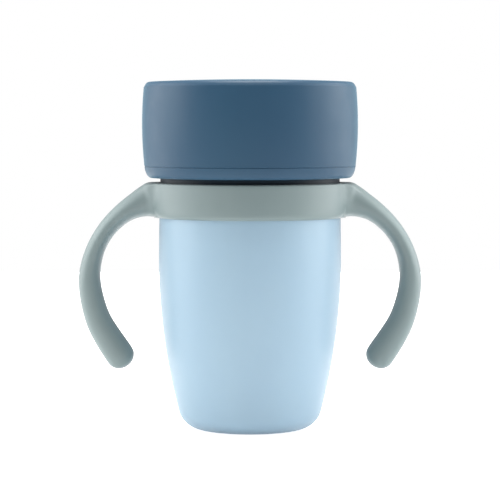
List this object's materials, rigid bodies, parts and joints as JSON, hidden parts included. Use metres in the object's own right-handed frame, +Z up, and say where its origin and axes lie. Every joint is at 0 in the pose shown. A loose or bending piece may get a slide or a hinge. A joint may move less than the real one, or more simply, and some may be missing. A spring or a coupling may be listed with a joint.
{
  "type": "sippy cup",
  "caption": "Toddler drinking cup with a turning two-handled ring, a screw lid with a soft all-round valve and a lift-off travel cap.",
  "frame": {"origin": "centre of the foot, on the surface the cup stands on", "axes": "+Z up along the cup's axis, X through the two handles, -Y towards the front"},
  "size_m": [0.1266, 0.0792, 0.1285],
  "materials": {
    "tumbler": "satin moulded polypropylene, light blue",
    "handle_ring": "satin moulded polypropylene, warm grey",
    "screw_lid": "satin moulded polypropylene, dark blue",
    "lid_gasket": "soft matte silicone, translucent grey",
    "valve_membrane": "soft matte silicone, pale blue",
    "valve_disc": "satin moulded polypropylene, light blue",
    "travel_cap": "satin moulded polypropylene, dark blue"
  },
  "bodies": {
    "tumbler": {"tumbler": "tumbler"},
    "handle_ring": {"handle_ring": "handle_ring"},
    "gasket": {"lid_gasket": "lid_gasket"},
    "lid": {"screw_lid": "screw_lid", "valve_membrane": "valve_membrane", "valve_disc": "valve_disc"},
    "cap": {"travel_cap": "travel_cap"}
  },
  "joints": [
    {"name": "handle_turn", "type": "hinge", "parent": "tumbler", "child": "handle_ring", "pos_m": [0, 0, 0.0816], "axis": [0, 0, 1], "continuous": true},
    {"name": "lid_rise", "type": "slide", "parent": "tumbler", "child": "gasket", "axis": [0, 0, 1], "range_m": [0, 0.018]},
    {"name": "lid_turn", "type": "hinge", "parent": "gasket", "child": "lid", "pos_m": [0, 0, 0.09], "axis": [0, 0, 1], "range_deg": [0, 720]},
    {"name": "cap_lift", "type": "slide", "parent": "lid", "child": "cap", "axis": [0, 0, 1], "range_m": [0, 0.04]}
  ],
  "couplings": [
    {"joint": "lid_rise", "follows": "lid_turn", "m_per_rad": 0.0014324}
  ]
}
